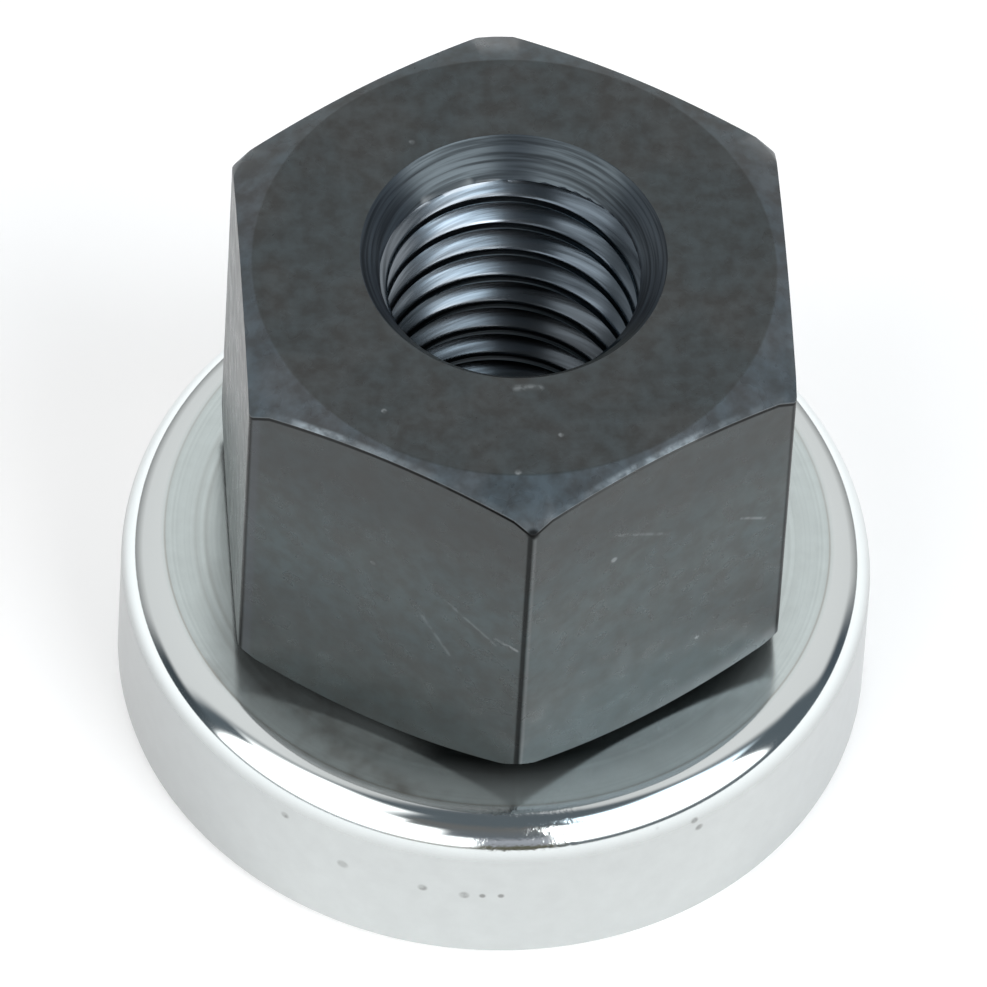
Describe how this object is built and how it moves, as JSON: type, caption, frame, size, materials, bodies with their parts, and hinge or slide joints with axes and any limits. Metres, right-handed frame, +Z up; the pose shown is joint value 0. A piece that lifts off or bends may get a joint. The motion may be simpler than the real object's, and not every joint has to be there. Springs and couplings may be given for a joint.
{
  "type": "swivel flange nut",
  "caption": "Tall hexagon nut with a countersunk internal thread, standing on a thick rounded washer that it carries captive and that turns freely under it.",
  "frame": {"origin": "centre of the washer's underside", "axes": "+Z up along the thread's axis, from the washer to the nut's open end; a corner of the hexagon points along -Y"},
  "size_m": [0.0308, 0.0308, 0.0261],
  "materials": {
    "nut_steel": "black oxide, satin",
    "washer_steel": "fine turned, shoulder polished bright"
  },
  "bodies": {
    "washer": {"washer": "washer_steel"},
    "nut": {"nut": "nut_steel"}
  },
  "joints": [
    {"name": "nut_spin", "type": "hinge", "parent": "washer", "child": "nut", "pos_m": [0, 0, 0.008], "axis": [0, 0, 1], "continuous": true}
  ]
}
